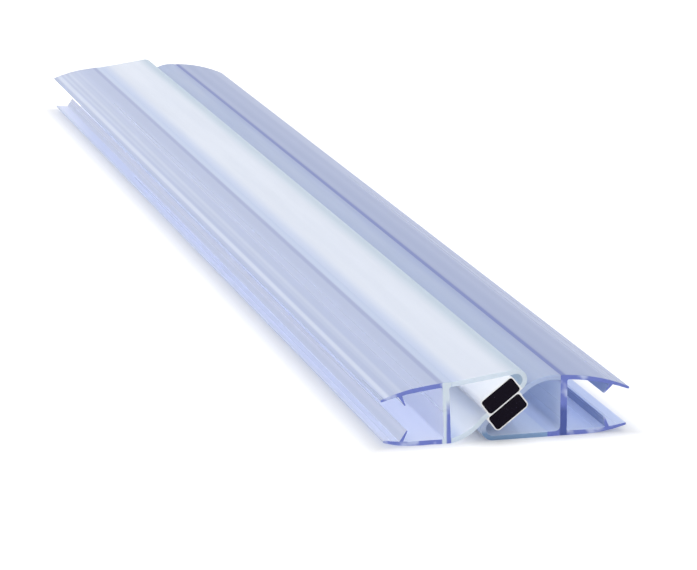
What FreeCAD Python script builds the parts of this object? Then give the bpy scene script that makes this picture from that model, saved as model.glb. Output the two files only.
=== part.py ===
"""Magnetic seal for the closing edges of two glass shower panes, in millimetres.

Two extruded strips mate along a slanted joint. Each strip has a clear clip that grips the glass,
a hollow milky nose and a magnet strip in a pocket of the nose. X runs across the seal, Y along it
and Z up. The seal lies on Z = 0, and its middle is at X = 0 and Y = 0.

Each strip is drawn with its base side down and its jaws towards +X, as the right strip lies. The
left strip is then turned over about the seal's length.
"""
import FreeCAD, Part
import math
import os
import re
import Sketcher

SIZES = {
    # The whole seal
    "seal_length": 350.0,
    "half_width": 23.7,
    "web_height": 11.4,
    # Walls of the clip
    "web_face": 11.65,
    "web_wall": 1.3,
    "jaw_wall": 0.85,
    "jaw_tip_wall": 0.45,
    "jaw_fillet": 0.3,
    # Barbs on the jaws
    "barb_base": 0.9,
    "barb_tip": 0.2,
    # Walls of the nose
    "nose_wall": 0.9,
    "mating_lip": 0.4,
    # Slanted joint between the noses
    "joint_x": -0.34,
    "joint_rise": 1.04,
    "joint_angle": 37.6,
    "joint_stagger": 0.75,
    # Magnet strips and their pockets
    "magnet_width": 7.2,
    "magnet_depth": 3.0,
    "magnet_corner": 0.6,
    "slot_corner": 0.5,
    "pocket_face": 0.135,
    "pocket_wall": 0.25,
    # How the right strip lies, with its base side down
    "right_lean": 0.0,
    "right_base_slope": 0.0,
    "right_base_flat": 3.35,
    "right_base_inset": 0.55,
    "right_base_drop": 1.2,
    "right_base_barb_back": 3.6,
    "right_base_barb_lean": 0.8,
    "right_base_barb_reach": 3.2,
    "right_far_slope": 4.6,
    "right_far_flat": 0.6,
    "right_far_inset": 0.0,
    "right_far_drop": 2.95,
    "right_far_barb_back": 3.3,
    "right_far_barb_lean": 1.75,
    "right_far_barb_reach": 3.95,
    "right_foot_length": 2.4,
    "right_foot_fillet": 1.0,
    "right_nose_slope": 0.0,
    "right_crown_wrap": 3.0,
    # How the left strip lies, turned over, with its base side up
    "left_lean": 0.45,
    "left_base_slope": 6.3,
    "left_base_flat": 3.0,
    "left_base_inset": 0.0,
    "left_base_drop": 2.4,
    "left_base_barb_back": 3.5,
    "left_base_barb_lean": 1.15,
    "left_base_barb_reach": 3.8,
    "left_far_slope": 0.0,
    "left_far_flat": 5.3,
    "left_far_inset": 0.5,
    "left_far_drop": 0.9,
    "left_far_barb_back": 3.2,
    "left_far_barb_lean": 1.35,
    "left_far_barb_reach": 3.0,
    "left_foot_length": 0.5,
    "left_foot_fillet": 0.4,
    "left_nose_slope": 7.8,
    "left_crown_wrap": 13.0,
}

doc = FreeCAD.newDocument("seal")
sheet = doc.addObject("Spreadsheet::Sheet", "size")
names = []


def set_cell(name, content):
    """Put a size, or a sum of sizes that starts with "=", in the sheet under its name."""
    names.append(name)
    row = len(names)
    sheet.set(f"A{row}", name)
    sheet.set(f"B{row}", content)
    sheet.setAlias(f"B{row}", name)


def cells(text):
    """Point each size named in a sum at its cell."""
    return re.sub("[a-z_]+", lambda word: "size." + word[0] if word[0] in names else word[0], text)


def value(text):
    """What a sum of sizes comes to."""
    return float(doc.Objects[-1].evalExpression(cells(text)))


def new_body(name):
    """An empty body. The bodies of the left strip lie turned over about the seal's length."""
    body = doc.addObject("PartDesign::Body", name)
    body.Label = name
    if name.endswith("left"):
        turned = FreeCAD.Rotation(FreeCAD.Vector(0, 1, 0), 180)
        body.Placement = FreeCAD.Placement(FreeCAD.Vector(0, 0, value("web_height")), turned)
        body.setExpression("Placement.Base.z", cells("web_height"))
    return body


def new_sketch(body, name):
    """An empty sketch on the body's cross-section plane, its axes along X and Z."""
    sketch = body.newObject("Sketcher::SketchObject", name)
    plane = next(o for o in body.Origin.OriginFeatures if o.Role == "XZ_Plane")
    sketch.AttachmentSupport = (plane, [""])
    sketch.MapMode = "FlatFace"
    return sketch


def hold(sketch, kind, *where, size):
    """Add a dimension to the sketch that follows the sheet."""
    index = sketch.addConstraint(Sketcher.Constraint(kind, *where, value(size)))
    sketch.setExpression(f"Constraints[{index}]", cells(size))


def hold_point(sketch, point, corner):
    """Hold a point of the sketch at its place from the origin."""
    hold(sketch, "DistanceX", -1, 1, *point, size=corner[0])
    hold(sketch, "DistanceY", -1, 1, *point, size=corner[1])


def tangent_arc(start, end, heading):
    """Centre of the arc from start to end that leaves start in the direction heading."""
    across = FreeCAD.Vector(-heading.y, heading.x, 0)
    chord = end - start
    return start + across * (chord.dot(chord) / (2 * chord.dot(across)))


def add_line(sketch, start, end):
    """Add a straight run, and return its two ends and the direction in which it arrives."""
    line = sketch.addGeometry(Part.LineSegment(start, end))
    return (line, 1), (line, 2), (end - start).normalize()


def add_arc(sketch, start, end, centre, heading):
    """Add the arc that leaves start in the direction heading, in the same terms as a line."""
    spoke = start - centre
    turns_left = spoke.cross(heading).z > 0
    first, last = (start, end) if turns_left else (end, start)
    angles = [math.atan2((p - centre).y, (p - centre).x) for p in (first, last)]
    circle = Part.Circle(centre, FreeCAD.Vector(0, 0, 1), spoke.Length)
    arc = sketch.addGeometry(Part.ArcOfCircle(circle, angles[0], angles[1] % math.tau))
    arrival = FreeCAD.Vector(-(end - centre).y, (end - centre).x, 0).normalize()
    if turns_left:
        return (arc, 1), (arc, 2), arrival
    return (arc, 2), (arc, 1), arrival * -1


def outline(body, name, corners):
    """Draw a closed outline through corners, each an (x, z) pair of sums of sizes.

    A corner is reached by a straight run. A third entry changes that: "arc on" is reached by an
    arc that carries on smoothly from the run before it, "arc into" by one that leads smoothly into
    the run after it, and any other text rounds the corner by that radius.
    """
    sketch = new_sketch(body, name)
    count = len(corners)
    places = [FreeCAD.Vector(value(corner[0]), value(corner[1]), 0) for corner in corners]
    forms = [corner[2] if len(corner) > 2 else "" for corner in corners]
    arcs = ("arc on", "arc into")
    rounded = [form and form not in arcs for form in forms]

    arrive, leave = list(places), list(places)
    for i in range(count):
        if rounded[i]:
            before = (places[i - 1] - places[i]).normalize()
            after = (places[(i + 1) % count] - places[i]).normalize()
            back = value(forms[i]) / math.tan(before.getAngle(after) / 2)
            arrive[i] = places[i] + before * back
            leave[i] = places[i] + after * back

    runs = []
    heading = None
    for i in range(count):
        start, end = leave[i - 1], arrive[i]
        if forms[i] == "arc on":
            run = add_arc(sketch, start, end, tangent_arc(start, end, heading), heading)
        elif forms[i] == "arc into":
            onward = (places[(i + 1) % count] - end).normalize()
            centre = tangent_arc(end, start, onward * -1)
            spoke = start - centre
            side = FreeCAD.Vector(-spoke.y, spoke.x, 0).normalize()
            if side.dot(end - start) < 0:
                side = side * -1
            run = add_arc(sketch, start, end, centre, side)
        else:
            run = add_line(sketch, start, end)
        runs.append(run)
        heading = run[2]

    for i in range(count):
        run, following = runs[i], runs[(i + 1) % count]
        if rounded[i]:
            across = FreeCAD.Vector(-run[2].y, run[2].x, 0)
            if across.dot(leave[i] - arrive[i]) < 0:
                across = across * -1
            centre = arrive[i] + across * value(forms[i])
            start, end, _ = add_arc(sketch, arrive[i], leave[i], centre, run[2])
            corner = sketch.addGeometry(Part.Point(places[i]), True)
            hold_point(sketch, (corner, 1), corners[i])
            sketch.addConstraint(Sketcher.Constraint("PointOnObject", corner, 1, run[1][0]))
            sketch.addConstraint(Sketcher.Constraint("PointOnObject", corner, 1, following[0][0]))
            sketch.addConstraint(Sketcher.Constraint("Tangent", *run[1], *start))
            sketch.addConstraint(Sketcher.Constraint("Tangent", *end, *following[0]))
            hold(sketch, "Radius", start[0], size=forms[i])
            continue
        smooth = forms[i] == "arc into" or forms[(i + 1) % count] == "arc on"
        joint = "Tangent" if smooth else "Coincident"
        sketch.addConstraint(Sketcher.Constraint(joint, *run[1], *following[0]))
        hold_point(sketch, run[1], corners[i])
    return sketch


def extrude(body, kind, name, sketch, length="seal_length"):
    """Pad or pocket a sketch by the same amount each way from the middle of the seal."""
    feature = body.newObject(f"PartDesign::{kind}", name)
    feature.Profile = sketch
    feature.SideType = "Symmetric"
    feature.Length = value(length)
    feature.setExpression("Length", cells(length))
    doc.recompute()
    return feature


def fillet(body, name, x, z, radius):
    """Round the lengthwise edge nearest to a place in the cross-section."""
    tip = body.Tip
    place = FreeCAD.Vector(value(x), 0, value(z))

    def distance(edge):
        middle = edge.CenterOfMass
        return FreeCAD.Vector(middle.x - place.x, 0, middle.z - place.z).Length

    lengthwise = [
        (distance(edge), f"Edge{i}")
        for i, edge in enumerate(tip.Shape.Edges, start=1)
        if abs(edge.BoundBox.YLength - edge.Length) < 1e-6
    ]
    feature = body.newObject("PartDesign::Fillet", name)
    feature.Base = (tip, [min(lengthwise)[1]])
    feature.Radius = value(radius)
    feature.setExpression("Radius", cells(radius))
    doc.recompute()


def add_jaw(body, side, which):
    """One curved jaw of a clip and the barb on it. The base jaw is at Z = 0, the far one opposite."""
    part = f"{side}_{which}"
    root = f"web_face + {side}_lean" if which == "base" else "web_face"

    def rise(depth):
        return depth if which == "base" else f"web_height - ({depth})"

    flat_x = f"({root} + {part}_flat * cos({part}_slope))"
    flat_z = f"({part}_flat * sin({part}_slope))"
    tip_x = f"(half_width - {part}_inset - jaw_tip_wall / 2)"
    tip_z = f"{part}_drop"
    turn = f"(2 * atan(({tip_z} - {flat_z}) / ({tip_x} - {flat_x})) / 1 deg - {part}_slope)"
    inner_root = f"jaw_wall / cos({part}_slope) - tan({part}_slope) * web_wall / 2"
    sketch = outline(body, f"{which}_jaw_outline", [
        (f"{root} - web_wall / 2", rise("0")),
        (root, rise("0")),
        (flat_x, rise(flat_z)),
        (tip_x, rise(tip_z), "arc on"),
        (f"{tip_x} - jaw_tip_wall * sin{turn}", rise(f"{tip_z} + jaw_tip_wall * cos{turn}"), "arc on"),
        (f"{flat_x} - jaw_wall * sin({part}_slope)",
         rise(f"{flat_z} + jaw_wall * cos({part}_slope)"), "arc into"),
        (f"{root} - web_wall / 2", rise(inner_root)),
    ])
    extrude(body, "Pad", f"{which}_jaw", sketch)

    barb_x = f"(half_width - {part}_inset - {part}_barb_back)"
    span = f"({tip_x} - {flat_x})"
    straight = f"tan({part}_slope)"
    bend = f"(({tip_z} - {flat_z} - {straight} * {span}) / {span}^2)"
    along = f"({barb_x} - {flat_x})"
    seat = f"{flat_z} + {straight} * {along} + {bend} * {along}^2 + jaw_tip_wall / 2"
    barb_tip = f"{barb_x} - {part}_barb_lean"
    sketch = outline(body, f"{which}_barb_outline", [
        (f"{barb_x} - barb_base / 2", rise(seat)),
        (f"{barb_x} + barb_base / 2", rise(seat)),
        (f"{barb_tip} + barb_tip / 2", rise(f"{part}_barb_reach")),
        (f"{barb_tip} - barb_tip / 2", rise(f"{part}_barb_reach - barb_tip / 2")),
    ])
    extrude(body, "Pad", f"{which}_barb", sketch)


def make_clip(side):
    """The clear clip of one strip: web, foot, two jaws and their barbs."""
    body = new_body(f"clip_{side}")
    base_x = f"web_face + {side}_lean"
    inner_x = f"{base_x} - web_wall"
    sketch = outline(body, "web_outline", [
        (inner_x, "0"),
        (base_x, "0"),
        ("web_face", "web_height"),
        ("web_face - web_wall", "web_height"),
    ])
    extrude(body, "Pad", "web", sketch)
    foot = f"{side}_foot_length"
    fall = f"{foot} * tan({side}_nose_slope)"
    wall = f"nose_wall / cos({side}_nose_slope)"
    sketch = outline(body, "foot_outline", [
        (f"{inner_x} - {foot}", f"-{fall}"),
        (inner_x, "0"),
        (f"{inner_x} + web_wall / 2", "0"),
        (f"{inner_x} + web_wall / 2", wall),
        (inner_x, wall),
        (f"{inner_x} - {foot}", f"{wall} - {fall}"),
    ])
    extrude(body, "Pad", "foot", sketch)
    add_jaw(body, side, "base")
    add_jaw(body, side, "far")
    fillet(body, "foot_corner", inner_x, wall, f"{side}_foot_fillet")
    fillet(body, "base_jaw_corner", base_x, "jaw_wall", "jaw_fillet")
    fillet(body, "far_jaw_corner", "web_face", "web_height - jaw_wall", "jaw_fillet")
    return body


def work_out_joint(side):
    """Where the middle of the strip's own magnet meets the joint, and the nose's rounded corner.

    The flat mating face runs past the magnet by the mating lip, and the corner takes the rest.
    """
    x, z = "joint_x", "(web_height / 2 + joint_rise)"
    if side == "left":
        x, z = "-joint_x", "(web_height / 2 - joint_rise)"
    set_cell(f"{side}_joint_x", f"={x} - joint_stagger / 2 * cos(joint_angle)")
    set_cell(f"{side}_joint_z", f"={z} - joint_stagger / 2 * sin(joint_angle)")
    corner_x, _ = sharp_corner(side, "0")
    run = f"(({side}_joint_x - {corner_x}) / cos(joint_angle) - magnet_width / 2 - mating_lip)"
    set_cell(f"{side}_nose_corner", f"={run} * tan((joint_angle - {side}_nose_slope) / 2)")


def work_out_crown(side, other):
    """Where the mating face ends, and the two arcs that carry the wall on to its far root.

    The first arc follows the other nose's corner. The second arches over from there.
    """
    end, wrap, arch = f"{side}_end", f"{side}_wrap", f"{side}_arch"
    set_cell(f"{side}_steep", f"=joint_angle + {side}_crown_wrap")
    reach = "(magnet_width / 2 + mating_lip + joint_stagger)"
    set_cell(f"{end}_x", f"={side}_joint_x + {reach} * cos(joint_angle)")
    set_cell(f"{end}_z", f"={side}_joint_z + {reach} * sin(joint_angle)")
    turn_x = f"(sin({side}_steep) - sin(joint_angle))"
    turn_z = f"(cos(joint_angle) - cos({side}_steep))"
    set_cell(f"{wrap}_x", f"={end}_x + {other}_nose_corner * {turn_x}")
    set_cell(f"{wrap}_z", f"={end}_z + {other}_nose_corner * {turn_z}")
    across = f"(web_face - web_wall - {wrap}_x)"
    rise = f"(web_height - {wrap}_z)"
    fall = f"({across} * sin({side}_steep) - {rise} * cos({side}_steep))"
    set_cell(f"{arch}_radius", f"=({across}^2 + {rise}^2) / (2 * {fall})")
    set_cell(f"{arch}_x", f"={wrap}_x + {arch}_radius * sin({side}_steep)")
    set_cell(f"{arch}_z", f"={wrap}_z - {arch}_radius * cos({side}_steep)")


def sharp_corner(side, inset):
    """Where the base line of the nose would meet the slanted joint, both set in by a wall."""
    root = f"(web_face + {side}_lean - web_wall)"
    slope = f"tan({side}_nose_slope)"
    base = f"({inset} / cos({side}_nose_slope) - {slope} * {root})"
    joint = f"({side}_joint_z - tan(joint_angle) * {side}_joint_x - {inset} / cos(joint_angle))"
    x = f"(({base} - {joint}) / (tan(joint_angle) - {slope}))"
    return x, f"({base} + {slope} * {x})"


def arch_height(side, inset, x):
    """Height at x of the arch of the nose, set in by a wall."""
    radius = f"({side}_arch_radius - {inset})"
    return f"({side}_arch_z + sqrt({radius}^2 - ({x} - {side}_arch_x)^2))"


def nose_corners(side, inset, root):
    """Corners of the nose from its base line to its far root, set in by a wall for the hollow."""
    corner_x, corner_z = sharp_corner(side, inset)
    in_x, in_z = f"{inset} * sin(joint_angle)", f"{inset} * cos(joint_angle)"
    wrap_x, wrap_z = f"{inset} * sin({side}_steep)", f"{inset} * cos({side}_steep)"
    return [
        (corner_x, corner_z, f"{side}_nose_corner - {inset}"),
        (f"{side}_end_x + {in_x}", f"{side}_end_z - {in_z}"),
        (f"{side}_wrap_x + {wrap_x}", f"{side}_wrap_z - {wrap_z}", "arc on"),
        (root, arch_height(side, inset, root), "arc on"),
    ]


def magnet_outline(body, side, name, start, end, width, corner):
    """A rounded rectangle along the slanted joint, from start to end below it."""
    sketch = outline(body, name, [
        (f"-({width}) / 2", f"-({end})", corner),
        (f"({width}) / 2", f"-({end})", corner),
        (f"({width}) / 2", f"-({start})", corner),
        (f"-({width}) / 2", f"-({start})", corner),
    ])
    sketch.setExpression("AttachmentOffset.Base.x", cells(f"{side}_joint_x"))
    sketch.setExpression("AttachmentOffset.Base.y", cells(f"{side}_joint_z"))
    sketch.setExpression("AttachmentOffset.Rotation.Angle", cells("joint_angle"))
    return sketch


def make_nose(side):
    """The milky nose of one strip: a hollow wall and the thin-walled pocket for the magnet."""
    body = new_body(f"nose_{side}")
    root = f"(web_face + {side}_lean - web_wall)"
    far_root = "(web_face - web_wall)"
    slope = f"{side}_nose_slope"
    foot_x = f"{root} - {side}_foot_length"
    foot_z = f"-{side}_foot_length * tan({slope})"
    sketch = outline(body, "outer_outline", [
        (foot_x, foot_z),
        *nose_corners(side, "0", far_root),
        (far_root, arch_height(side, "nose_wall", far_root)),
        (root, f"nose_wall / cos({slope})"),
        (foot_x, f"{foot_z} + nose_wall / cos({slope})"),
    ])
    extrude(body, "Pad", "outer", sketch)
    full = body.Tip.Shape.Volume
    past = "(web_face - web_wall / 2)"
    sketch = outline(body, "hollow_outline", [
        (past, f"nose_wall / cos({slope}) + tan({slope}) * ({past} - {root})"),
        *nose_corners(side, "nose_wall", past),
    ])
    extrude(body, "Pocket", "hollow", sketch, "seal_length + 2 * web_wall")
    if body.Tip.Shape.Volume > 0.6 * full:
        raise RuntimeError(f"the hollow of nose_{side} is not cut")
    sketch = magnet_outline(
        body, side, "holder_outline", "0", "pocket_face + magnet_depth + pocket_wall",
        "magnet_width + 2 * pocket_wall", "magnet_corner + pocket_wall",
    )
    extrude(body, "Pad", "holder", sketch)
    solid = body.Tip.Shape.Volume
    sketch = magnet_outline(
        body, side, "slot_outline", "pocket_face", "pocket_face + magnet_depth",
        "magnet_width", "slot_corner",
    )
    extrude(body, "Pocket", "slot", sketch, "seal_length + 2 * web_wall")
    if body.Tip.Shape.Volume > solid - value("magnet_width * magnet_depth * seal_length / 2"):
        raise RuntimeError(f"the magnet slot of nose_{side} is not cut")
    return body


def make_magnet(side):
    """The magnet strip that fills the pocket of one nose."""
    body = new_body(f"magnet_{side}")
    sketch = magnet_outline(
        body, side, "magnet_outline", "pocket_face", "pocket_face + magnet_depth",
        "magnet_width", "magnet_corner",
    )
    extrude(body, "Pad", "magnet", sketch)
    return body


for name, amount in SIZES.items():
    set_cell(name, str(amount))
work_out_joint("left")
work_out_joint("right")
work_out_crown("left", "right")
work_out_crown("right", "left")
doc.recompute()

bodies = [make(side) for side in ("left", "right") for make in (make_clip, make_nose, make_magnet)]
doc.recompute()

for thing in doc.Objects:
    if "Invalid" in thing.State or "Error" in thing.State:
        raise RuntimeError(f"{thing.Label} failed: {thing.State}")
os.makedirs("parts", exist_ok=True)
for body in bodies:
    shape = body.Shape
    if shape.isNull() or not shape.isValid() or len(shape.Solids) != 1:
        raise RuntimeError(f"{body.Label} is not one valid solid")
    shape.exportStep(f"parts/{body.Label}.step")
    box = shape.BoundBox
    print(f"{body.Label}: {shape.Volume:.0f} mm3, X {box.XMin:.2f} to {box.XMax:.2f}, "
          f"Y {box.YMin:.2f} to {box.YMax:.2f}, Z {box.ZMin:.2f} to {box.ZMax:.2f}")
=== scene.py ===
"""Looks of the magnetic shower door seal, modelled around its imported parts."""
import math

import bmesh
import bpy
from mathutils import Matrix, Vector


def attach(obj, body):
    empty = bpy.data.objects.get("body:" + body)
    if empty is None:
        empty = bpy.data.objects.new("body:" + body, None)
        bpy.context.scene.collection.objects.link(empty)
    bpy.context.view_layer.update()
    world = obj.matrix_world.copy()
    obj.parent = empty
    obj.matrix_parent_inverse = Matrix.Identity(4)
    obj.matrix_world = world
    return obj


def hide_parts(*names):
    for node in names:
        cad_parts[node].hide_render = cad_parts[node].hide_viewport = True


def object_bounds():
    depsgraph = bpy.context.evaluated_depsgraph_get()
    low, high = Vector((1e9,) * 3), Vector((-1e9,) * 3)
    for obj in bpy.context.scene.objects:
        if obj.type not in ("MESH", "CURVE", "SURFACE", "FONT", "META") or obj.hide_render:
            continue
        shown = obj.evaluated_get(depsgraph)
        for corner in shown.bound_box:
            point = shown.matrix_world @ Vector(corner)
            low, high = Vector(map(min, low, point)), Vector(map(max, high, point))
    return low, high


bl_info = {
    "name": "Shower Door Seal",
    "version": (1, 0, 0),
    "blender": (4, 5, 0),
    "location": "View3D > Sidebar > Door Seal",
    "description": "Clear clips, milky noses and magnet strips of a mitred shower door seal",
    "category": "Object",
}

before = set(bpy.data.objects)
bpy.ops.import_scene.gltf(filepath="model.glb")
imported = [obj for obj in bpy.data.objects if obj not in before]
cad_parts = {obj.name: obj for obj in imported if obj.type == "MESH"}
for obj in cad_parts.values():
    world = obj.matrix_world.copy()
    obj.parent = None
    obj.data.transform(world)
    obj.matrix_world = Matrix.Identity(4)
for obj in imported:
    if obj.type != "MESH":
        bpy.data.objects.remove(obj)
CAD_BOX = [list(corner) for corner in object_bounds()]
HALF_LENGTH = CAD_BOX[1][1]

# How the outlines are drawn and pulled out, in metres
STEP = 0.0008  # length of an outline's edges
ARC_SLACK = 2e-6  # most that an arc's steps may cut inside it
WELD = 1e-7  # points of an outline nearer than this are one
AIR_GAP = 0.00001  # keeps faces of two pieces from lying in one plane
END_BAND = 0.0005  # stretch at each end that keeps the rounded rim's shading to itself
RUNS = 10  # equal stretches between the two end bands
ENDWISE = 0.9  # a face with more of Y than this in its normal is a sawn end
SMOOTH_ANGLE = 32.0  # degrees
END_FINISH = {  # rounding of the rim, depth of the saw marks and their grain
    "clip": (0.0001, 0.00035, 0.0012),
    "nose": (0.00005, 0.00012, 0.0015),
    "magnet": (0.00008, 0.0001, 0.0008),
}

# Ranges of X or Z, in metres, over which one look of a plastic gives way to the next
TOP_OF_SEAL = (0.0095, 0.0108)
JUST_BELOW_TOP = (0.0112, 0.0108)
LEFT_JAW_TIPS = (-0.0145, -0.0215)
LEFT_WEB_HEAD = (-0.0122, -0.0116)
# The next range places painted light on the left web's face towards the nose
LEFT_WEB_NOSE_SIDE = (-0.0112, -0.0106)
LEFT_END_WEB = (-0.0122, -0.0119)
LEFT_END_WEDGE = (-0.0110, -0.0114)
LEFT_END_HEAD = (0.0055, 0.0085)
LEFT_NOSE_ROOT = (-0.0070, -0.0106)
LEFT_NOSE_LIP = (-0.0010, 0.0026)
RIGHT_NOSE_ROOT = (0.0075, 0.0103)
RIGHT_NOSE_FOOT = (0.0012, 0.0022)
RIGHT_WEB_MIDDLE = 0.011
RIGHT_WEB_WIDTH = (0.0009, 0.0005)
RIGHT_WEB_FOOT = (0.0062, 0.0045)
POCKET_EDGE = (0.00045, 0.0002)  # distance from the magnet
WEB_FACE_EDGE = (0.001, 0.0006)  # distance outside the webs' faces
SAWN_EDGE = (-0.0006, -0.0004)  # distance past the seal's ends

# Ranges over which a face counts as turned one way: part of X or Y in its normal, and for the
# faces of a hollow, part of Z times the height above the middle, in metres
SIDEWAYS = (0.8, 0.95)
ENDWAYS = (0.5, 0.8)
INWARD = (-0.0004, -0.002)

# Ranges of noise, and what they give
NOISE_SPAN = (0.3, 0.7)  # noise seldom leaves this
# Where the painted highlight streaks near the left jaws' tips show
TIP_HIGHLIGHT_STREAKS = (0.42, 0.6)
END_PATCHES = (0.5, 0.66)
MAGNET_GRAINS = (0.66, 0.74)
STREAK_SHADE = 0.95  # how dark a clip's streaks are beside its colour
CLOUD_SHADE = 0.97  # how dark a nose's clouds are beside its colour
CLIP_ROUGHNESS = (0.26, 0.34)
NOSE_ROUGHNESS = (0.28, 0.4)
MAGNET_ROUGHNESS = (0.55, 0.75)
SOLID_CLEARNESS = 0.05  # clearness of ends, web heads and pocket walls
PLASTIC_IOR = 1.5
CLIP_DEPTH = ((0.3, 0.42, 0.95), 45.0)  # blue gathered in thick plastic: colour and density


def size(name, description, default):
    """A length that a user may change, in metres."""
    return bpy.props.FloatProperty(
        name=name, description=description, default=default, unit="LENGTH", precision=5)


def turn(name, description, degrees):
    """An angle that a user may change."""
    return bpy.props.FloatProperty(
        name=name, description=description, default=math.radians(degrees), subtype="ANGLE")


class SealSizes(bpy.types.PropertyGroup):
    """Sizes that both strips share."""

    half_width: size("Half width", "From the middle of the seal to a jaw's tip", 0.0237)
    web_height: size("Web height", "Height of the wall that the glass edge meets", 0.0114)
    web_face: size("Web face", "From the middle of the seal to the glass edge", 0.01165)
    web_wall: size("Web wall", "Thickness of the web", 0.0013)
    jaw_wall: size("Jaw wall", "Thickness of a jaw at the web", 0.00085)
    jaw_tip_wall: size("Jaw tip wall", "Thickness of a jaw at its tip", 0.00045)
    jaw_fillet: size("Jaw fillet", "Rounding between a jaw and the web", 0.0003)
    barb_base: size("Barb base", "Thickness of a barb where it leaves the jaw", 0.0009)
    barb_tip: size("Barb tip", "Thickness of a barb at its tip", 0.0002)
    nose_wall: size("Nose wall", "Thickness of a nose", 0.0009)
    mating_lip: size("Mating lip", "Flat of the mating face past the magnet", 0.0004)
    joint_x: size("Joint middle", "Middle of the mating faces, across the seal", -0.00034)
    joint_rise: size("Joint rise", "Middle of the mating faces, above half the web", 0.00104)
    joint_angle: turn("Joint angle", "Slant of the mating faces", 37.6)
    joint_stagger: size("Joint stagger", "Shift between the two magnets along the joint", 0.00075)
    magnet_width: size("Magnet width", "Width of a magnet strip", 0.0072)
    magnet_depth: size("Magnet depth", "Thickness of a magnet strip", 0.003)
    magnet_corner: size("Magnet corner", "Rounding of a magnet strip", 0.0006)
    slot_corner: size("Slot corner", "Rounding of the slot for the magnet", 0.0005)
    pocket_face: size("Pocket face", "Film between a magnet and the mating face", 0.000135)
    pocket_wall: size("Pocket wall", "Wall round the rest of a magnet", 0.00025)


STRIP_NOTES = {
    "lean": "How far the foot of the web stands out from its head",
    "foot_length": "Clear foot that reaches under the nose",
    "foot_fillet": "Rounding between the foot and the web",
    "nose_slope": "Slope of the nose's base wall",
    "crown_wrap": "Turn over which the nose hugs the other nose's corner",
    "base_slope": "Slope of the base jaw where it leaves the web",
    "base_flat": "Straight run of the base jaw before it curves",
    "base_inset": "How much the base jaw stops short of the half width",
    "base_drop": "How far the base jaw's tip is bent inwards",
    "base_barb_back": "From the base jaw's reach back to its barb",
    "base_barb_lean": "Lean of the base barb",
    "base_barb_reach": "How far the base barb reaches inwards",
    "far_slope": "Slope of the far jaw where it leaves the web",
    "far_flat": "Straight run of the far jaw before it curves",
    "far_inset": "How much the far jaw stops short of the half width",
    "far_drop": "How far the far jaw's tip is bent inwards",
    "far_barb_back": "From the far jaw's reach back to its barb",
    "far_barb_lean": "Lean of the far barb",
    "far_barb_reach": "How far the far barb reaches inwards",
}
ANGLES = ("nose_slope", "crown_wrap", "base_slope", "far_slope")
WEB_LINES = {"left": (-0.0124, 0.0008), "right": (0.0108, 0.0009)}  # X and half its width
CLIP_LOOKS = {  # depth of the line along the web, clearness, and what a lamp's light keeps
    "left": (0.4, 0.25, (0.90, 0.905, 0.915)),
    "right": (1.0, 0.12, (0.81, 0.81, 0.82)),
}
NOSE_LOOKS = {  # clearness, and what a lamp's light keeps
    "left": (0.18, (0.98, 0.985, 0.99)),
    "right": (0.3, (0.94, 0.945, 0.96)),
}
FLOOR_WIDTH = 8.0
# The first row lifts the paper less close beside the seal, which paints a shadow band there on top
# of the real shadow.
FLOOR_LIFTS_AND_PAINTED_SHADOW = (  # distance from the seal, from and to, and how far the paper is lifted at each
    (0.0, 0.005, 0.05, 0.3),
    (0.2, 2.5, 0.0, 0.65),
)
WORLD_LIGHT = 0.35
SOFTBOXES = (  # name, place, width and power
    ("softbox_top", (0.25, 0.4, 1.25), 1.5, 12.5),
    ("softbox_left", (-1.2, -0.3, 0.5), 0.9, 2.8),
    ("softbox_right", (1.2, -0.3, 0.5), 0.9, 3.0),
    ("softbox_front", (0.1, -1.3, 0.4), 0.9, 3.2),
)
CAMERA_PLACE = (-0.1789, -0.7581, 0.1724)
CAMERA_TURN = (76.75, 0.0, -14.36)  # degrees
CAMERA_SENSOR = 36.0  # mm
CAMERA_LENS = 179.3  # mm
CAMERA_NEAR = 0.01


def strip_sizes(label, defaults):
    """The group of sizes that one strip has for itself, from millimetres and degrees."""
    fields = {}
    for (key, note), amount in zip(STRIP_NOTES.items(), defaults, strict=True):
        title = key.replace("_", " ").capitalize()
        if key in ANGLES:
            fields[key] = turn(title, note, amount)
        else:
            fields[key] = size(title, note, amount / 1000)
    return type(label, (bpy.types.PropertyGroup,), {"__annotations__": fields})


RightStrip = strip_sizes("RightStrip", (
    0.0, 2.4, 1.0, 0.0, 3.0,
    0.0, 3.35, 0.55, 1.2, 3.6, 0.8, 3.2,
    4.6, 0.6, 0.0, 2.95, 3.3, 1.75, 3.95))
LeftStrip = strip_sizes("LeftStrip", (
    0.45, 0.5, 0.4, 7.8, 13.0,
    6.3, 3.0, 0.0, 2.4, 3.5, 1.15, 3.8,
    0.0, 5.3, 0.5, 0.9, 3.2, 1.35, 3.0))


def heading(angle):
    """Unit direction at an angle from X towards Z."""
    return Vector((math.cos(angle), math.sin(angle)))


def square(direction):
    """The direction turned a quarter turn to the left."""
    return Vector((-direction.y, direction.x))


def crossing(start, direction, other_start, other_direction):
    """Where two lines of the section meet."""
    gap = other_start - start
    share = gap.cross(other_direction) / direction.cross(other_direction)
    return start + direction * share


def arc_centre(start, direction, end):
    """Centre of the arc that leaves start in a direction and ends at end."""
    chord = end - start
    across = square(direction)
    return start + across * (chord.length_squared / (2 * chord.dot(across)))


def meets_circle(start, end, centre):
    """Where a run from start to end crosses the circle round centre through centre[1]."""
    middle, radius = centre
    run = end - start
    back = start - middle
    half = run.dot(back)
    root = math.sqrt(half * half - run.length_squared * (back.length_squared - radius * radius))
    shares = [(-half - root) / run.length_squared, (-half + root) / run.length_squared]
    return start + run * next(share for share in shares if 0 <= share <= 1)


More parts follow.
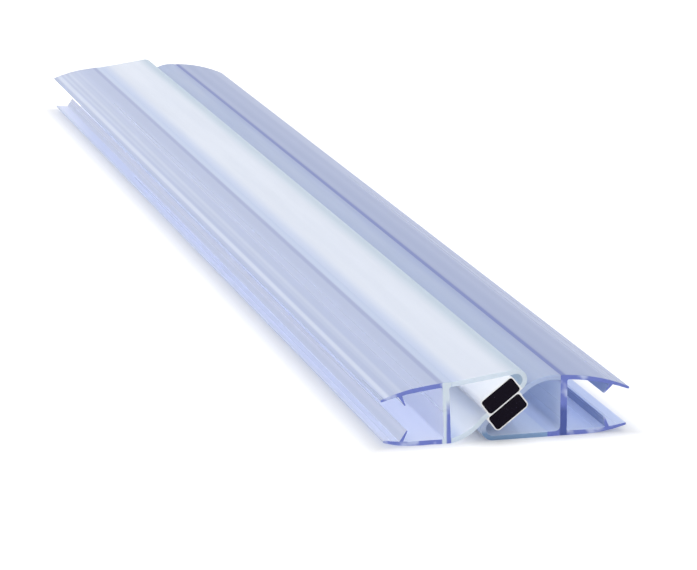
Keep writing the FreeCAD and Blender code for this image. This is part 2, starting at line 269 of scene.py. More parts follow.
class Pen:
    """Draws closed outlines of the section at the near end, in edit mode.

    Points are in the plane in which a strip is drawn, base side down and jaws to +X. The left strip
    is turned over about the seal's length.
    """

    def __init__(self, name, turned_over):
        self.turned_over = turned_over
        self.height = bpy.context.scene.seal_sizes.web_height
        bpy.ops.object.select_all(action="DESELECT")
        bpy.ops.mesh.primitive_plane_add(size=STEP, enter_editmode=True)
        bpy.ops.mesh.select_mode(type="VERT")
        bpy.context.object.name = name
        bpy.context.object.data.name = name
        self.fresh = True

    def place(self, point):
        """A point of the section in the seal's own frame."""
        x, z = point
        if self.turned_over:
            x, z = -x, self.height - z
        return Vector((x, -HALF_LENGTH, z))

    def start(self, point):
        """Put the pen down: a new plane is merged to one point and moved into place."""
        if not self.fresh:
            bpy.ops.mesh.select_all(action="DESELECT")
            bpy.ops.mesh.primitive_plane_add(size=STEP)
        self.fresh = False
        bpy.ops.mesh.merge(type="CENTER")
        self.at = point
        bpy.ops.transform.translate(value=self.place(point))

    def line(self, point):
        """Draw a straight run in even steps."""
        run = self.place(point) - self.place(self.at)
        count = max(1, round(run.length / STEP))
        for _ in range(count):
            bpy.ops.mesh.extrude_region_move(TRANSFORM_OT_translate={"value": run / count})
        self.at = point

    def arc(self, point, centre):
        """Draw the shorter arc round centre, fine enough to look round."""
        start, end = self.at - centre, point - centre
        sweep = math.atan2(start.cross(end), start.dot(end))
        finest = 2 * math.acos(1 - ARC_SLACK / start.length)
        count = max(math.ceil(abs(sweep) / finest), round(abs(sweep) * start.length / STEP), 2)
        middle = self.place(centre)
        bpy.ops.mesh.spin(steps=count, angle=sweep, center=middle, axis=(0, 1, 0))
        self.at = point

    def rounded(self, corner, onward, radius):
        """Draw up to a corner and round it, on the way to the point onward."""
        before = (self.at - corner).normalized()
        after = (onward - corner).normalized()
        half = before.angle(after) / 2
        back = radius / math.tan(half)
        centre = corner + (before + after).normalized() * (radius / math.sin(half))
        self.line(corner + before * back)
        self.arc(corner + after * back, centre)

    def follow(self, point, centre):
        """Draw an arc if it has a centre, and else a straight run."""
        if centre is None:
            self.line(point)
        else:
            self.arc(point, centre)

    def close(self, point):
        """Draw back to the start of the outline."""
        self.line(point)
        bpy.ops.mesh.select_all(action="SELECT")
        bpy.ops.mesh.remove_doubles(threshold=WELD)


def strip_of(side):
    """The sizes that both strips share, and the strip's own."""
    scene = bpy.context.scene
    return scene.seal_sizes, scene.right_strip if side == "right" else scene.left_strip


def jaw_points(side, which):
    """One jaw as (point, centre of the arc that reaches it), from the web's outer corner round the
    tip and the barb to the web's face. Heights count from the jaw's own side of the clip."""
    sizes, strip = strip_of(side)
    own = {key: getattr(strip, f"{which}_{key}") for key in (
        "slope", "flat", "inset", "drop", "barb_back", "barb_lean", "barb_reach")}
    near_lean, far_lean = (strip.lean, 0.0) if which == "base" else (0.0, strip.lean)
    root = Vector((sizes.web_face + near_lean, 0.0))
    along = heading(own["slope"])
    flat_end = root + along * own["flat"]
    reach = sizes.half_width - own["inset"]
    tip = Vector((reach - sizes.jaw_tip_wall / 2, own["drop"]))
    rise = tip - flat_end
    arrival = heading(2 * math.atan2(rise.y, rise.x) - own["slope"])
    inner_tip = tip + square(arrival) * sizes.jaw_tip_wall
    cap = (tip + inner_tip) / 2
    inner_flat = flat_end + square(along) * sizes.jaw_wall
    outer = arc_centre(flat_end, along, tip)
    inner = arc_centre(inner_flat, along, inner_tip)

    barb_x = reach - own["barb_back"]
    share = (barb_x - flat_end.x) / rise.x
    steep = math.tan(own["slope"])
    seat = flat_end.y + steep * rise.x * share + (rise.y - steep * rise.x) * share ** 2
    seat += sizes.jaw_tip_wall / 2
    barb_end = barb_x - own["barb_lean"]
    outer_barb = Vector((barb_end + sizes.barb_tip / 2, own["barb_reach"]))
    inner_barb = Vector((barb_end - sizes.barb_tip / 2, own["barb_reach"] - sizes.barb_tip / 2))
    ring = inner, (inner_tip - inner).length
    outer_root = meets_circle(Vector((barb_x + sizes.barb_base / 2, seat)), outer_barb, ring)
    inner_root = meets_circle(Vector((barb_x - sizes.barb_base / 2, seat)), inner_barb, ring)

    web = Vector((far_lean - near_lean, sizes.web_height))
    return [
        (root, None),
        (flat_end, None),
        (tip, outer),
        (cap + arrival * (sizes.jaw_tip_wall / 2), cap),
        (inner_tip, cap),
        (outer_root, inner),
        (outer_barb, None),
        (inner_barb, None),
        (inner_root, None),
        (inner_flat, inner),
        (crossing(inner_flat, along, root, web), None),
    ]


def from_far_side(points, height):
    """A jaw's points drawn the other way round, from the far side of the clip."""
    places = [Vector((point.x, height - point.y)) for point, _ in reversed(points)]
    centres = [centre and Vector((centre.x, height - centre.y)) for _, centre in reversed(points)]
    return list(zip(places, [None] + centres[:-1]))


def draw_clip(pen, side):
    """The outline of a clip: foot, base jaw, far jaw and the web between them."""
    sizes, strip = strip_of(side)
    base = jaw_points(side, "base")
    far = from_far_side(jaw_points(side, "far"), sizes.web_height)
    slope = heading(strip.nose_slope)
    inner = Vector((sizes.web_face + strip.lean - sizes.web_wall, 0.0))
    foot = inner - slope * (strip.foot_length / slope.x)
    head = Vector((sizes.web_face - sizes.web_wall, sizes.web_height))
    wall = Vector((0.0, sizes.nose_wall / slope.x))
    pen.start(foot)
    pen.line(inner)
    for point, centre in base[:-1]:
        pen.follow(point, centre)
    pen.rounded(base[-1][0], far[0][0], sizes.jaw_fillet)
    pen.rounded(far[0][0], far[1][0], sizes.jaw_fillet)
    for point, centre in far[1:]:
        pen.follow(point, centre)
    pen.line(head)
    armpit = crossing(inner + wall, slope, inner, head - inner)
    pen.rounded(armpit, foot + wall, strip.foot_fillet)
    pen.line(foot + wall)
    pen.close(foot)


def joint_frame(side):
    """Middle of a strip's magnet on the mating face, the way along the face, and the way into
    the nose."""
    sizes, _ = strip_of(side)
    flip = 1 if side == "right" else -1
    along = heading(sizes.joint_angle)
    middle = Vector((flip * sizes.joint_x, sizes.web_height / 2 + flip * sizes.joint_rise))
    return middle - along * (sizes.joint_stagger / 2), along, -square(along)


def nose_corner(side):
    """The rounded corner of a nose: where the base wall and the mating face touch it, its centre
    and its radius."""
    sizes, strip = strip_of(side)
    middle, along, into = joint_frame(side)
    slope = heading(strip.nose_slope)
    root = Vector((sizes.web_face + strip.lean - sizes.web_wall, 0.0))
    corner = crossing(root, slope, middle, along)
    run = (middle - corner).length - sizes.magnet_width / 2 - sizes.mating_lip
    radius = run * math.tan((sizes.joint_angle - strip.nose_slope) / 2)
    return corner + slope * run, corner + along * run, corner + along * run + into * radius, radius


def draw_nose(pen, side):
    """The outline of a nose: base wall, corner, mating face, the arch to its root, and back round
    the pocket that holds the magnet."""
    sizes, strip = strip_of(side)
    other = "left" if side == "right" else "right"
    middle, along, into = joint_frame(side)
    wall = sizes.nose_wall
    base_touch, face_touch, centre, _ = nose_corner(side)
    hugged = nose_corner(other)[3]
    reach = sizes.magnet_width / 2 + sizes.mating_lip + sizes.joint_stagger
    end = middle + along * reach
    hug_centre = end - into * hugged
    steep = heading(sizes.joint_angle + strip.crown_wrap)
    hug_end = hug_centre - square(steep) * hugged
    root = Vector((sizes.web_face - sizes.web_wall, sizes.web_height))
    arch = arc_centre(hug_end, steep, root)
    root.x -= AIR_GAP
    arch_radius = (hug_end - arch).length
    across = root.x - arch.x
    inner_root = arch + Vector((across, math.sqrt((arch_radius - wall) ** 2 - across ** 2)))
    root.y = arch.y + math.sqrt(arch_radius ** 2 - across ** 2)

    slope = heading(strip.nose_slope)
    foot = Vector((sizes.web_face + strip.lean - sizes.web_wall, 0.0))
    foot -= slope * ((strip.foot_length + AIR_GAP) / slope.x)
    half = sizes.magnet_width / 2 + sizes.pocket_wall
    depth = sizes.pocket_face + sizes.magnet_depth + sizes.pocket_wall
    pocket_round = sizes.magnet_corner + sizes.pocket_wall
    deep_right = middle + along * half + into * depth
    deep_left = middle - along * half + into * depth
    pen.start(foot)
    pen.line(base_touch)
    pen.arc(face_touch, centre)
    pen.line(end)
    pen.arc(hug_end, hug_centre)
    pen.arc(root, arch)
    pen.line(inner_root)
    pen.arc(hug_end - square(steep) * wall, arch)
    pen.arc(end + into * wall, hug_centre)
    pen.line(middle + along * half + into * wall)
    pen.rounded(deep_right, deep_left, pocket_round)
    pen.rounded(deep_left, middle - along * half + into * wall, pocket_round)
    pen.line(middle - along * half + into * wall)
    pen.line(face_touch + into * wall)
    pen.arc(base_touch + square(slope) * wall, centre)
    pen.line(foot + Vector((0.0, wall / slope.x)))
    pen.close(foot)
    draw_bar(pen, side, 0.0, sizes.slot_corner)


def draw_bar(pen, side, slack, corner):
    """The rounded bar of a magnet, or the slot for it, drawn in by slack all round."""
    sizes, _ = strip_of(side)
    middle, along, into = joint_frame(side)
    half = along * (sizes.magnet_width / 2 - slack)
    near = middle + into * (sizes.pocket_face + slack)
    far = middle + into * (sizes.pocket_face + sizes.magnet_depth - slack)
    pen.start(near)
    pen.rounded(near + half, far + half, corner)
    pen.rounded(far + half, far - half, corner)
    pen.rounded(far - half, near - half, corner)
    pen.rounded(near - half, near, corner)
    pen.close(near)


def draw_magnet(pen, side):
    """The outline of a magnet strip, just clear of its slot."""
    draw_bar(pen, side, AIR_GAP, strip_of(side)[0].magnet_corner)


def select_end_rims():
    """Select the edges where the sawn ends meet the walls."""
    bpy.ops.mesh.select_mode(type="EDGE")
    bpy.ops.mesh.select_all(action="DESELECT")
    mesh = bmesh.from_edit_mesh(bpy.context.edit_object.data)
    for edge in mesh.edges:
        sawn = [abs(face.normal.y) > ENDWISE for face in edge.link_faces]
        edge.select = len(sawn) == 2 and sawn[0] != sawn[1]
    mesh.select_flush_mode()
    bmesh.update_edit_mesh(bpy.context.edit_object.data)


def saw_ends(piece, depth, grain):
    """Roughen both ends as a saw leaves them, always inwards from the full length."""
    texture = bpy.data.textures.new(f"{piece.name}_saw", "CLOUDS")
    texture.noise_scale = grain
    texture.noise_depth = 2
    for end, sign in (("near", 1), ("far", -1)):
        group = piece.vertex_groups.new(name=f"{end}_end")
        cut = [v.index for v in piece.data.vertices if -sign * v.co.y > HALF_LENGTH - END_BAND]
        group.add(cut, 1.0, "REPLACE")
        saw = piece.modifiers.new(f"saw_{end}", "DISPLACE")
        saw.texture = texture
        saw.texture_coords = "LOCAL"
        saw.direction = "Y"
        saw.mid_level = 0.0
        saw.strength = sign * depth
        saw.vertex_group = group.name
        bpy.ops.object.modifier_apply(modifier=saw.name)


def make_strip_piece(side, kind, draw):
    """Draw one piece's outline, fill it, pull it out to the seal's length and saw its ends."""
    rim, saw_depth, saw_grain = END_FINISH[kind]
    pen = Pen(f"{side}_{kind}", turned_over=side == "left")
    draw(pen, side)
    bpy.ops.mesh.select_all(action="SELECT")
    bpy.ops.mesh.fill(use_beauty=True)
    bpy.ops.mesh.select_all(action="SELECT")
    run = 2 * (HALF_LENGTH - END_BAND) / RUNS
    for step in (END_BAND, *[run] * RUNS, END_BAND):
        bpy.ops.mesh.extrude_region_move(TRANSFORM_OT_translate={"value": (0, step, 0)})
    bpy.ops.mesh.select_all(action="SELECT")
    bpy.ops.mesh.normals_make_consistent(inside=False)
    select_end_rims()
    bpy.ops.mesh.bevel(offset=rim, segments=2, affect="EDGES", clamp_overlap=True)
    bpy.ops.object.mode_set(mode="OBJECT")
    piece = bpy.context.object
    saw_ends(piece, saw_depth, saw_grain)
    bpy.ops.object.shade_smooth_by_angle(angle=math.radians(SMOOTH_ANGLE))
    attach(piece, "root")
    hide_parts(f"{kind}_{side}")
    return piece


def tint(name, description, default):
    """A colour that a user may change."""
    return bpy.props.FloatVectorProperty(
        name=name, description=description, default=default, subtype="COLOR", size=3, min=0, max=1)


class SealColours(bpy.types.PropertyGroup):
    """Colours of the plastics and the magnets, some of which are painted light or shade."""

    clear_left: tint("Left clip", "Clear plastic of the left clip", (0.52, 0.59, 0.79))
    # Painted light: a paler copy of the left clip's plastic for its inner faces, standing in for
    # light that scatters into the hollows.
    clear_left_inside: tint("Left clip inside", "Inner faces of the left clip", (0.83, 0.87, 1.0))
    # Painted highlight: pale streaks towards the tips of the left jaws, standing in for lamps
    # caught on the rounded jaw and barb edges.
    left_tip_highlight: tint(
        "Left jaw tips", "Pale streaks towards the tips of the left jaws", (0.74, 0.80, 0.93))
    # Partly the right clip's own denser tint and partly painted shade that keeps the right jaws
    # darker than the left ones.
    clear_right: tint("Right clip", "Clear plastic of the right clip", (0.33, 0.40, 0.63))
    # Painted light: a paler copy of the right clip's plastic for its inner faces, standing in for
    # light that scatters into the hollows.
    clear_right_inside: tint(
        "Right clip inside", "Inner faces of the right clip", (0.66, 0.75, 0.96))
    clear_end: tint("Clip ends", "Blue gathered at the sawn ends of the clips", (0.19, 0.24, 0.66))
    clear_deep: tint(
        "Right web end", "Deepest blue, in the foot of the right web", (0.09, 0.13, 0.42))
    web_line: tint("Web line", "Blue line that shows along the head of a web", (0.13, 0.18, 0.48))
    clear_glint: tint(
        "Clip glints", "Pale patches on the sawn ends of the clips", (0.55, 0.62, 0.90))
    milky_left: tint("Left nose", "Milky plastic of the left nose", (0.745, 0.795, 0.90))
    # Grey-blue partly as the right nose's own tint and partly as painted shade where the left
    # nose's corner shades it.
    milky_right: tint("Right nose", "Grey-blue plastic of the right nose", (0.40, 0.485, 0.69))
    # Painted light: a paler copy of the left nose's plastic for its inner faces, standing in for
    # light that scatters through the milky walls.
    milky_left_inside: tint("Left nose inside", "Inner faces of the left nose", (0.92, 0.95, 1.0))
    # Painted light: a paler copy of the right nose's plastic for its inner faces, standing in for
    # light that scatters through its walls.
    milky_right_inside: tint(
        "Right nose inside", "Inner faces of the right nose", (0.72, 0.82, 1.0))
    milky_left_root: tint("Left nose root", "Where the left nose meets its web", (0.53, 0.62, 0.83))
    milky_right_root: tint(
        "Right nose root", "Where the right nose meets its web", (0.295, 0.385, 0.64))
    milky_left_lip: tint(
        "Left nose lip", "Where the left nose turns down to the joint", (0.485, 0.60, 0.72))
    milky_left_end: tint("Left nose end", "Sawn end of the left nose", (0.78, 0.88, 0.97))
    milky_right_end: tint("Right nose end", "Sawn end of the right nose", (0.52, 0.62, 0.85))
    milky_foot_end: tint(
        "Right foot end", "Sawn end of the right nose's base wall", (0.22, 0.38, 0.64))
    pocket: tint("Pocket wall", "Thin plastic round the magnets", (1.0, 1.0, 1.0))
    magnet: tint("Magnet", "Bonded ferrite of the magnet strips", (0.006, 0.004, 0.010))
    magnet_grain: tint("Magnet grains", "Lighter grains in the magnets", (0.06, 0.05, 0.09))
    floor: tint("Floor", "Paper that the seal lies on", (0.9, 0.9, 0.9))


def new_material(name):
    """An empty node material, with the tools to fill it."""
    material = bpy.data.materials.new(name)
    material.use_nodes = True
    tree = material.node_tree
    tree.nodes.clear()
    return material, tree


def add(tree, kind, inputs=(), **settings):
    """Add a node. inputs are (socket, value or output) pairs."""
    node = tree.nodes.new(kind)
    for key, amount in settings.items():
        setattr(node, key, amount)
    for key, amount in inputs:
        if isinstance(amount, bpy.types.NodeSocket):
            tree.links.new(amount, node.inputs[key])
        else:
            node.inputs[key].default_value = amount
    return node


def colour(values):
    """A colour property as a node colour."""
    return (*values, 1.0)


def stretched_noise(tree, place, across, along, detail=2.0, seed=0.0):
    """Noise drawn out along the seal, as die lines are."""
    mapping = add(tree, "ShaderNodeMapping", [
        ("Vector", place), ("Location", (seed, seed, seed)), ("Scale", (across, along, across))])
    noise = add(tree, "ShaderNodeTexNoise", [
        ("Vector", mapping.outputs[0]), ("Scale", 1.0), ("Detail", detail), ("Roughness", 0.55)])
    return noise.outputs["Fac"]


def ramp(tree, value, low, high, bottom=0.0, top=1.0):
    """Map value from low..high to bottom..top, clamped and eased."""
    node = add(tree, "ShaderNodeMapRange", [
        ("Value", value), ("From Min", low), ("From Max", high),
        ("To Min", bottom), ("To Max", top)], interpolation_type="SMOOTHSTEP")
    return node.outputs["Result"]


def math_node(tree, operation, first, second=0.0):
    """One step of arithmetic."""
    return add(tree, "ShaderNodeMath", [(0, first), (1, second)], operation=operation).outputs[0]


def xyz(tree, vector):
    """A vector's parts, by their letters."""
    return add(tree, "ShaderNodeSeparateXYZ", [("Vector", vector)]).outputs


def beyond(tree, value, reach):
    """How far a value lies beyond reach, on either side of 0."""
    return math_node(tree, "SUBTRACT", math_node(tree, "ABSOLUTE", value), reach)


def off_from(tree, value, middle):
    """How far a value is from middle."""
    return math_node(tree, "ABSOLUTE", math_node(tree, "SUBTRACT", value, middle))


def seen_directly(tree):
    """1 for the rays that show the background by itself, in gloss or through the plastics."""
    path = add(tree, "ShaderNodeLightPath")
    return math_node(tree, "MAXIMUM", path.outputs["Is Camera Ray"],
                     math_node(tree, "MAXIMUM", path.outputs["Is Glossy Ray"],
                               path.outputs["Is Transmission Ray"]))


def blend_colours(tree, factor, first, second):
    """Mix two colours."""
    node = add(tree, "ShaderNodeMix", [("Factor", factor)], data_type="RGBA")
    for socket, amount in ((6, first), (7, second)):
        if isinstance(amount, bpy.types.NodeSocket):
            tree.links.new(amount, node.inputs[socket])
        else:
            node.inputs[socket].default_value = amount
    return node.outputs[2]


def relief(tree, height, strength, depth=0.0001):
    """A bumped normal."""
    return add(tree, "ShaderNodeBump", [
        ("Height", height), ("Strength", strength), ("Distance", depth)]).outputs[0]


def cut_end_mask(tree, place):
    """1 on the sawn ends, 0 on the walls."""
    near = ramp(tree, beyond(tree, xyz(tree, place)["Y"], HALF_LENGTH), *SAWN_EDGE)
    facing = xyz(tree, add(tree, "ShaderNodeNewGeometry").outputs["Normal"])
    sawn = ramp(tree, math_node(tree, "ABSOLUTE", facing["Y"]), *ENDWAYS)
    return math_node(tree, "MULTIPLY", near, sawn)


def hollow_painted_light_mask(tree, spread):
    """1 on the webs' faces and on faces that look up or down into a hollow, 0 on the outer ones:
    where the painted light of the hollows goes.
    """
    sizes = bpy.context.scene.seal_sizes
    facing = xyz(tree, add(tree, "ShaderNodeNewGeometry").outputs["Normal"])
    above = math_node(tree, "SUBTRACT", spread["Z"], sizes.web_height / 2)
    inward = ramp(tree, math_node(tree, "MULTIPLY", facing["Z"], above), *INWARD)
    sideways = ramp(tree, math_node(tree, "ABSOLUTE", facing["X"]), *SIDEWAYS)
    at_web = ramp(tree, beyond(tree, spread["X"], sizes.web_face), *WEB_FACE_EDGE)
    return math_node(tree, "MAXIMUM", inward, math_node(tree, "MULTIPLY", sideways, at_web))


def near_line(tree, spread, x, width):
    """1 on the top of the seal at x, fading out over width to both sides."""
    across = ramp(tree, off_from(tree, spread["X"], x), width, width * 0.25)
    return math_node(tree, "MULTIPLY", across, ramp(tree, spread["Z"], *TOP_OF_SEAL))


def finish_material(tree, shader, lamp_tint=None, absorption=None):
    """Let lamps through the plastic, tint its depth, and write the output."""
    surface = shader.outputs[0]
    if lamp_tint:
        path = add(tree, "ShaderNodeLightPath")
        passing = add(tree, "ShaderNodeBsdfTransparent", [("Color", (*lamp_tint, 1.0))])
        mixed = add(tree, "ShaderNodeMixShader", [
            (0, path.outputs["Is Shadow Ray"]), (1, surface), (2, passing.outputs[0])])
        surface = mixed.outputs[0]
    output = add(tree, "ShaderNodeOutputMaterial", [("Surface", surface)])
    if absorption:
        depth = add(tree, "ShaderNodeVolumeAbsorption", [
            ("Color", (*absorption[0], 1.0)), ("Density", absorption[1])])
        tree.links.new(depth.outputs[0], output.inputs["Volume"])


def clear_pvc(side, colours):
    """Clear hard PVC: tinted hazy walls with faint die lines, a deeper line along the head of the
    web, and blue sawn ends with paler patches."""
    material, tree = new_material(f"clear_pvc_{side}")
    place = add(tree, "ShaderNodeTexCoord").outputs["Object"]
    spread = xyz(tree, place)
    wall = getattr(colours, f"clear_{side}")
    streaks = stretched_noise(tree, place, across=260.0, along=1.0, detail=1.0)
    shade = blend_colours(tree, ramp(tree, streaks, *NOISE_SPAN), colour(wall),
                          colour(part * STREAK_SHADE for part in wall))
    # Painted light: inner faces and the webs' faces get the paler inside colour in place of light
    # that reaches the hollows.
    shade = blend_colours(tree, hollow_painted_light_mask(tree, spread), shade,
                          colour(getattr(colours, f"clear_{side}_inside")))
    haze = 0.0
    if side == "left":
        # Painted highlight streaks towards the left jaws' tips
        tips = ramp(tree, spread["X"], *LEFT_JAW_TIPS)
        tip_highlights = stretched_noise(tree, place, across=520.0, along=0.5, detail=1.0, seed=3.0)
        tip_highlights = math_node(tree, "MULTIPLY", tips, ramp(tree, tip_highlights, *TIP_HIGHLIGHT_STREAKS))
        shade = blend_colours(tree, tip_highlights, shade, colour(colours.left_tip_highlight))
        haze = math_node(tree, "MULTIPLY", ramp(tree, spread["X"], *LEFT_WEB_HEAD),
                         ramp(tree, spread["Z"], *TOP_OF_SEAL))
        shade = blend_colours(tree, haze, shade, colour(colours.milky_left_root))
        # Painted light: the left web's face under the nose gets the nose's pale inside colour,
        # standing in for light through the milky nose.
        nose_side_painted_light = math_node(tree, "MULTIPLY", ramp(tree, spread["X"], *LEFT_WEB_NOSE_SIDE),
                              ramp(tree, spread["Z"], *JUST_BELOW_TOP))
        shade = blend_colours(tree, nose_side_painted_light, shade, colour(colours.milky_left_inside))
    line_depth, clearness, lamp_tint = CLIP_LOOKS[side]
    line = near_line(tree, spread, *WEB_LINES[side])
    shade = blend_colours(tree, math_node(tree, "MULTIPLY", line, line_depth), shade,
                          colour(colours.web_line))

    end = cut_end_mask(tree, place)
    patches = stretched_noise(tree, place, across=330.0, along=330.0, detail=1.5)
    end_shade = blend_colours(tree, ramp(tree, patches, *END_PATCHES),
                              colour(colours.clear_end), colour(colours.clear_glint))
    if side == "left":
        milky = math_node(tree, "MAXIMUM", ramp(tree, spread["X"], *LEFT_END_WEDGE),
                          ramp(tree, spread["Z"], *LEFT_END_HEAD))
        milky = math_node(tree, "MULTIPLY", milky, ramp(tree, spread["X"], *LEFT_END_WEB))
        end_shade = blend_colours(tree, milky, end_shade, colour(colours.milky_left_end))
    else:
        from_web = off_from(tree, spread["X"], RIGHT_WEB_MIDDLE)
        foot = math_node(tree, "MULTIPLY", ramp(tree, from_web, *RIGHT_WEB_WIDTH),
                         ramp(tree, spread["Z"], *RIGHT_WEB_FOOT))
        end_shade = blend_colours(tree, foot, end_shade, colour(colours.clear_deep))
    base = blend_colours(tree, end, shade, end_shade)
    solid = math_node(tree, "MAXIMUM", end, math_node(tree, "MAXIMUM", haze, line))
    die_lines = stretched_noise(tree, place, across=350.0, along=1.0, detail=1.0, seed=5.0)
    shader = add(tree, "ShaderNodeBsdfPrincipled", [
        ("Base Color", base),
        ("Roughness", ramp(tree, streaks, *NOISE_SPAN, *CLIP_ROUGHNESS)),
        ("IOR", PLASTIC_IOR),
        ("Transmission Weight", ramp(tree, solid, 0.0, 1.0, clearness, SOLID_CLEARNESS)),
        ("Specular IOR Level", 0.14),
        ("Normal", relief(tree, die_lines, 0.06))])
    finish_material(tree, shader, lamp_tint, CLIP_DEPTH)
    return material


def pocket_mask(tree, place, side):
    """1 on the thin wall round a magnet, 0 elsewhere."""
    sizes, _ = strip_of(side)
    middle, _, into = joint_frame(side)
    centre = middle + into * (sizes.pocket_face + sizes.magnet_depth / 2)
    if side == "left":
        centre = Vector((-centre.x, sizes.web_height - centre.y))
    local = add(tree, "ShaderNodeMapping", [
        ("Vector", place), ("Location", (centre.x, 0.0, centre.y)),
        ("Rotation", (0.0, -sizes.joint_angle, 0.0))], vector_type="TEXTURE")
    spread = xyz(tree, local.outputs[0])
    gap = math_node(tree, "MAXIMUM", beyond(tree, spread["X"], sizes.magnet_width / 2),
                    beyond(tree, spread["Z"], sizes.magnet_depth / 2))
    return ramp(tree, gap, *POCKET_EDGE)


def milky_pvc(side, colours):
    """Milky soft PVC: cloudy and satin, paler where it is thin round the magnet, with cyan sawn
    ends."""
    material, tree = new_material(f"milky_pvc_{side}")
    place = add(tree, "ShaderNodeTexCoord").outputs["Object"]
    spread = xyz(tree, place)
    body = getattr(colours, f"milky_{side}")
    clouds = stretched_noise(tree, place, across=300.0, along=12.0, detail=3.0)
    base = blend_colours(tree, ramp(tree, clouds, *NOISE_SPAN), colour(body),
                         colour(part * CLOUD_SHADE for part in body))
    # Painted light: inner faces get the paler inside colour in place of light that reaches the
    # hollow.
    base = blend_colours(tree, hollow_painted_light_mask(tree, spread), base,
                         colour(getattr(colours, f"milky_{side}_inside")))
    end_shade = colour(getattr(colours, f"milky_{side}_end"))
    if side == "left":
        base = blend_colours(tree, ramp(tree, spread["X"], *LEFT_NOSE_ROOT), base,
                             colour(colours.milky_left_root))
        base = blend_colours(tree, ramp(tree, spread["X"], *LEFT_NOSE_LIP), base,
                             colour(colours.milky_left_lip))
    else:
        base = blend_colours(tree, ramp(tree, spread["X"], *RIGHT_NOSE_ROOT), base,
                             colour(colours.milky_right_root))
        end_shade = blend_colours(tree, ramp(tree, spread["Z"], *RIGHT_NOSE_FOOT),
                                  colour(colours.milky_foot_end), end_shade)
    base = blend_colours(tree, cut_end_mask(tree, place), base, end_shade)
    ring = pocket_mask(tree, place, side)
    base = blend_colours(tree, ring, base, colour(colours.pocket))
    clearness, lamp_tint = NOSE_LOOKS[side]
    die_lines = stretched_noise(tree, place, across=400.0, along=1.0, detail=1.0, seed=2.0)
    shader = add(tree, "ShaderNodeBsdfPrincipled", [
        ("Base Color", base),
        ("Roughness", ramp(tree, clouds, *NOISE_SPAN, *NOSE_ROUGHNESS)),
        ("IOR", PLASTIC_IOR),
        ("Transmission Weight", ramp(tree, ring, 0.0, 1.0, clearness, SOLID_CLEARNESS)),
        ("Normal", relief(tree, die_lines, 0.1))])
    finish_material(tree, shader, lamp_tint)
    return material


def magnet_ferrite(colours):
    """Black bonded ferrite, matt, with tiny lighter grains."""
    material, tree = new_material("magnet_ferrite")
    place = add(tree, "ShaderNodeTexCoord").outputs["Object"]
    grain = stretched_noise(tree, place, across=3500.0, along=3500.0, detail=3.0)
    base = blend_colours(tree, ramp(tree, grain, *MAGNET_GRAINS), colour(colours.magnet),
                         colour(colours.magnet_grain))
    shader = add(tree, "ShaderNodeBsdfPrincipled", [
        ("Base Color", base),
        ("Roughness", ramp(tree, grain, *NOISE_SPAN, *MAGNET_ROUGHNESS)),
        ("Specular IOR Level", 0.06),
        ("Normal", relief(tree, grain, 0.2, depth=0.0002))])
    finish_material(tree, shader)
    return material


def floor_paper(colours):
    """Paper lifted to white as a background, but less close beside the seal, which paints a shadow
    band there on top of its real shadow.
    """
    material, tree = new_material("floor_paper")
    spread = xyz(tree, add(tree, "ShaderNodeTexCoord").outputs["Object"])
    gap = math_node(tree, "MAXIMUM", beyond(tree, spread["X"], CAD_BOX[1][0]),
                    beyond(tree, spread["Y"], HALF_LENGTH))
    # Painted shadow: the lift is smaller close beside the seal.
    lift = math_node(tree, "ADD", *(ramp(tree, gap, *span) for span in FLOOR_LIFTS_AND_PAINTED_SHADOW))
    lift = math_node(tree, "MULTIPLY", seen_directly(tree), lift)
    paper = add(tree, "ShaderNodeBsdfDiffuse", [("Color", colour(colours.floor))])
    white = add(tree, "ShaderNodeEmission", [("Color", (1, 1, 1, 1)), ("Strength", lift)])
    both = add(tree, "ShaderNodeAddShader", [(0, paper.outputs[0]), (1, white.outputs[0])])
    add(tree, "ShaderNodeOutputMaterial", [("Surface", both.outputs[0])])
    return material


class SEAL_OT_clips(bpy.types.Operator):
    """Build the two clear clips that grip the glass"""

    bl_idname = "seal.clips"
    bl_label = "Clear Clips"

    def execute(self, context):
        for side in ("left", "right"):
            clip = make_strip_piece(side, "clip", draw_clip)
            clip.data.materials.append(clear_pvc(side, context.scene.seal_colours))
        return {"FINISHED"}


class SEAL_OT_noses(bpy.types.Operator):
    """Build the two milky noses that mate along the slanted joint"""

    bl_idname = "seal.noses"
    bl_label = "Milky Noses"

    def execute(self, context):
        for side in ("left", "right"):
            nose = make_strip_piece(side, "nose", draw_nose)
            nose.data.materials.append(milky_pvc(side, context.scene.seal_colours))
        return {"FINISHED"}


class SEAL_OT_magnets(bpy.types.Operator):
    """Build the two magnet strips in the pockets of the noses"""

    bl_idname = "seal.magnets"
    bl_label = "Magnet Strips"

    def execute(self, context):
        material = magnet_ferrite(context.scene.seal_colours)
        for side in ("left", "right"):
            magnet = make_strip_piece(side, "magnet", draw_magnet)
            magnet.data.materials.append(material)
        return {"FINISHED"}


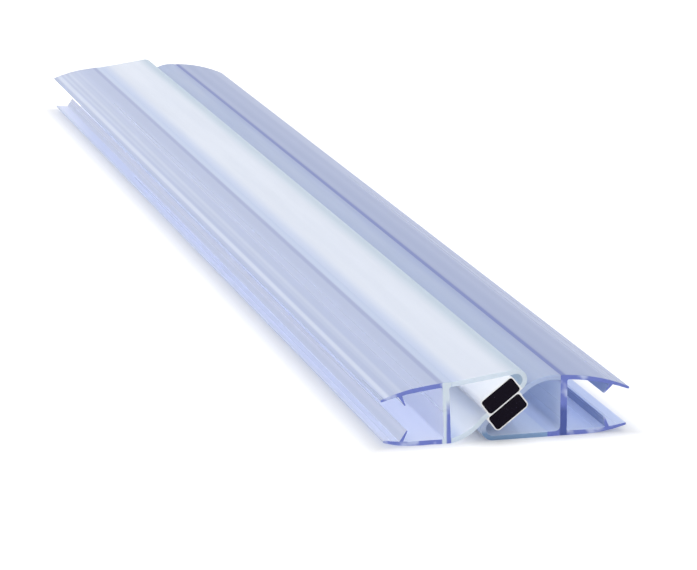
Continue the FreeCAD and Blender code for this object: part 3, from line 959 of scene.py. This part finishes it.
class SEAL_OT_stage(bpy.types.Operator):
    """Lay the floor, light it and set the camera"""

    bl_idname = "seal.stage"
    bl_label = "Stage"

    def execute(self, context):
        bpy.ops.object.select_all(action="DESELECT")
        bpy.ops.mesh.primitive_plane_add(size=FLOOR_WIDTH, location=(0, 0, 0))
        floor = context.object
        floor.name = "floor"
        floor.data.materials.append(floor_paper(context.scene.seal_colours))

        world = bpy.data.worlds.new("studio")
        context.scene.world = world
        world.use_nodes = True
        sky = world.node_tree
        sky.nodes.clear()
        plain, white = (add(sky, "ShaderNodeBackground", [
            ("Color", (1, 1, 1, 1)), ("Strength", strength)]) for strength in (WORLD_LIGHT, 1.0))
        mixed = add(sky, "ShaderNodeMixShader", [
            (0, seen_directly(sky)), (1, plain.outputs[0]), (2, white.outputs[0])])
        add(sky, "ShaderNodeOutputWorld", [("Surface", mixed.outputs[0])])

        for name, place, width, power in SOFTBOXES:
            bpy.ops.object.light_add(type="AREA", location=place)
            lamp = context.object
            lamp.name = name
            lamp.data.size = width
            lamp.data.energy = power
            lamp.rotation_euler = (-lamp.location).to_track_quat("-Z", "Y").to_euler()

        bpy.ops.object.camera_add(
            location=CAMERA_PLACE, rotation=[math.radians(angle) for angle in CAMERA_TURN])
        camera = context.object
        camera.name = "camera"
        camera.data.sensor_width = CAMERA_SENSOR
        camera.data.lens = CAMERA_LENS
        camera.data.clip_start = CAMERA_NEAR
        context.scene.camera = camera
        context.scene.view_settings.view_transform = "Standard"
        return {"FINISHED"}


class SEAL_PT_panel(bpy.types.Panel):
    """Colours of the seal, and the steps that build it"""

    bl_idname = "SEAL_PT_panel"
    bl_label = "Door Seal"
    bl_space_type = "VIEW_3D"
    bl_region_type = "UI"
    bl_category = "Door Seal"

    def draw(self, context):
        layout = self.layout
        colours = context.scene.seal_colours
        for name in SealColours.__annotations__:
            layout.prop(colours, name)
        for step in STEPS:
            layout.operator(step.bl_idname)


STEPS = (SEAL_OT_clips, SEAL_OT_noses, SEAL_OT_magnets, SEAL_OT_stage)
CLASSES = (SealSizes, RightStrip, LeftStrip, SealColours, *STEPS, SEAL_PT_panel)


def register():
    for each in CLASSES:
        bpy.utils.register_class(each)
    bpy.types.Scene.seal_sizes = bpy.props.PointerProperty(type=SealSizes)
    bpy.types.Scene.right_strip = bpy.props.PointerProperty(type=RightStrip)
    bpy.types.Scene.left_strip = bpy.props.PointerProperty(type=LeftStrip)
    bpy.types.Scene.seal_colours = bpy.props.PointerProperty(type=SealColours)


def unregister():
    del bpy.types.Scene.seal_colours
    del bpy.types.Scene.left_strip
    del bpy.types.Scene.right_strip
    del bpy.types.Scene.seal_sizes
    for each in reversed(CLASSES):
        bpy.utils.unregister_class(each)


def main():
    register()
    bpy.ops.seal.clips()
    bpy.ops.seal.noses()
    bpy.ops.seal.magnets()
    bpy.ops.seal.stage()


if __name__ == "__main__":
    main()
